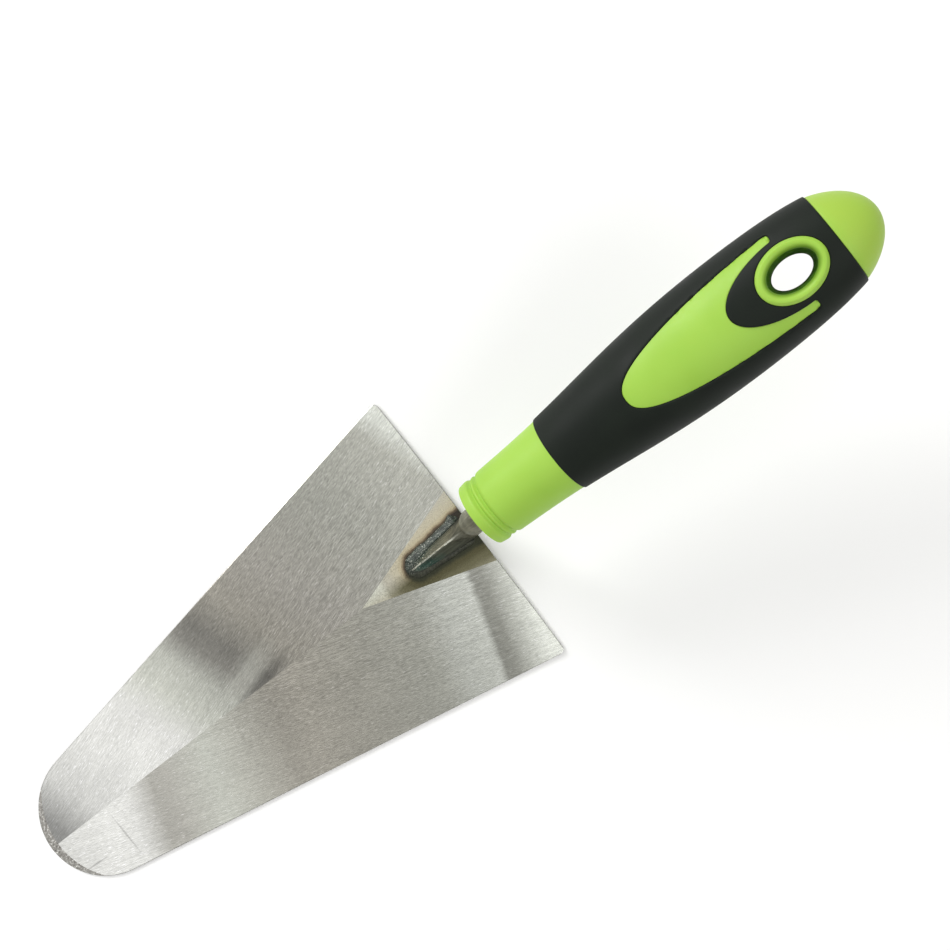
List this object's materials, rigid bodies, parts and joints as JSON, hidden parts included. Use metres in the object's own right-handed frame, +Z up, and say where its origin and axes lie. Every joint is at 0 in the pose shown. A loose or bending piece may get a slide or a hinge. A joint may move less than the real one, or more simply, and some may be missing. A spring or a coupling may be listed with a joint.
{
  "type": "mason's trowel",
  "caption": "Flat round-nosed steel trowel with a cranked, welded shank and a two-colour soft-grip handle with an oval hanging eyelet.",
  "frame": {"origin": "middle of the tool's bounding box in X and Y, on the plane of the sole", "axes": "+X from the nose to the butt, +Y across the blade, +Z up from the sole towards the handle"},
  "size_m": [0.2892, 0.094, 0.08],
  "materials": {
    "ground_steel": "brushed grinding marks in two directions, bare sheet in a V round the shank",
    "forged_steel": "smooth forged steel, darkened near the weld",
    "weld_metal": "dark glossy weld with heat tint",
    "green_plastic": "satin moulded plastic",
    "black_rubber": "fine matt thermoplastic rubber"
  },
  "bodies": {
    "root": {"blade": "ground_steel", "shank": "forged_steel", "weld_bead": "weld_metal", "handle_core": "green_plastic", "grip_overmould": "black_rubber"}
  },
  "joints": []
}
